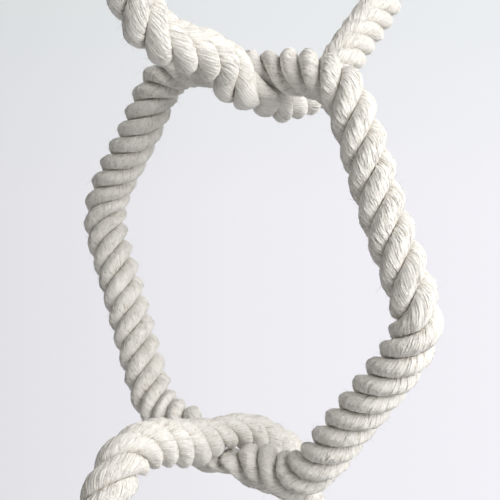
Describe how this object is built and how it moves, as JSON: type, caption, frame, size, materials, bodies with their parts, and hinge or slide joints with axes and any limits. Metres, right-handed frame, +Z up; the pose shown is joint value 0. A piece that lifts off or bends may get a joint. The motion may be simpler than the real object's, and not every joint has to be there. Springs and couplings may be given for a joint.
{
  "type": "bird swing",
  "caption": "Hanging bird swing of thick laid cotton rope: closed rope rings linked like a chain, each swinging in the ring above, hung from a long screw quick link.",
  "frame": {"origin": "lowest point of the inside of the quick link's top bend, where a hook or bar carries the swing", "axes": "+Z up along the hanging chain, +X to the right and +Y away from a viewer at the front"},
  "size_m": [0.1979, 0.2289, 0.709],
  "materials": {
    "cotton": "natural undyed cotton rope, matt, slightly fuzzy",
    "soft_wire": "galvanised, dull",
    "plated_steel": "nickel plated, satin"
  },
  "bodies": {
    "link": {"quick_link": "plated_steel"},
    "nut": {"link_nut": "plated_steel"},
    "upper_ring": {"upper_strand_1": "cotton", "upper_strand_2": "cotton", "upper_strand_3": "cotton", "upper_core_wire": "soft_wire", "upper_crimp_sleeve": "plated_steel"},
    "middle_ring": {"middle_strand_1": "cotton", "middle_strand_2": "cotton", "middle_strand_3": "cotton", "middle_core_wire": "soft_wire", "middle_crimp_sleeve": "plated_steel"},
    "lower_ring": {"lower_strand_1": "cotton", "lower_strand_2": "cotton", "lower_strand_3": "cotton", "lower_core_wire": "soft_wire", "lower_crimp_sleeve": "plated_steel"}
  },
  "joints": [
    {"name": "nut_travel", "type": "slide", "parent": "link", "child": "nut", "axis": [0, 0, 1], "range_m": [0, 0.033]},
    {"name": "upper_swing", "type": "hinge", "parent": "link", "child": "upper_ring", "pos_m": [0, 0, -0.0981], "axis": [0.5878, 0.809, 0], "range_deg": [-40, 40]},
    {"name": "middle_swing", "type": "hinge", "parent": "upper_ring", "child": "middle_ring", "pos_m": [-0.0047, -0.00647, -0.28815], "axis": [0.766, -0.6428, 0], "range_deg": [-40, 40]},
    {"name": "lower_swing", "type": "hinge", "parent": "middle_ring", "child": "lower_ring", "pos_m": [-0.01926, 0.00574, -0.4808], "axis": [0.6428, 0.766, 0], "range_deg": [-40, 40]}
  ]
}
